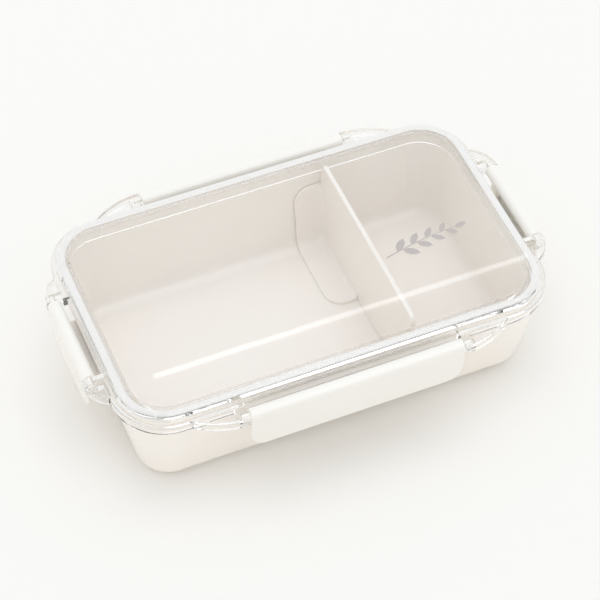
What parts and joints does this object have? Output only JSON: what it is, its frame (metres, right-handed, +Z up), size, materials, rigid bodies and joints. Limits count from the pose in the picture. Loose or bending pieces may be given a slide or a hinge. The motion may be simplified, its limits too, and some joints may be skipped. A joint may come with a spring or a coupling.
{
  "type": "lunch box",
  "caption": "Rounded rectangular lunch box with a clear sealed lid, a hinged latch on each side and a movable divider inside.",
  "frame": {"origin": "middle of the foot, on the table", "axes": "+X along the long side, -Y towards the front, +Z up through the lid"},
  "size_m": [0.2072, 0.1322, 0.052],
  "materials": {
    "container": "satin pale beige",
    "lid": "clear, polished",
    "gasket": "white silicone",
    "partition": "satin pale beige",
    "latch": "satin warm white"
  },
  "bodies": {
    "container": {"container": "container"},
    "lid": {"lid": "lid", "gasket": "gasket"},
    "partition": {"partition": "partition"},
    "front_latch": {"front_latch": "latch"},
    "back_latch": {"back_latch": "latch"},
    "left_latch": {"left_latch": "latch"},
    "right_latch": {"right_latch": "latch"}
  },
  "joints": [
    {"name": "lid_lift", "type": "slide", "parent": "container", "child": "lid", "axis": [0, 0, 1], "range_m": [0, 0.07]},
    {"name": "partition_slide", "type": "slide", "parent": "container", "child": "partition", "axis": [1, 0, 0], "range_m": [-0.085, 0.035]},
    {"name": "front_latch_swing", "type": "hinge", "parent": "lid", "child": "front_latch", "pos_m": [0, -0.0631, 0.0454], "axis": [-1, 0, 0], "range_deg": [-4.5, 115]},
    {"name": "back_latch_swing", "type": "hinge", "parent": "lid", "child": "back_latch", "pos_m": [0, 0.0631, 0.0454], "axis": [1, 0, 0], "range_deg": [-4.5, 115]},
    {"name": "left_latch_swing", "type": "hinge", "parent": "lid", "child": "left_latch", "pos_m": [-0.1006, 0, 0.0454], "axis": [0, 1, 0], "range_deg": [-4.5, 115]},
    {"name": "right_latch_swing", "type": "hinge", "parent": "lid", "child": "right_latch", "pos_m": [0.1006, 0, 0.0454], "axis": [0, -1, 0], "range_deg": [-4.5, 115]}
  ]
}
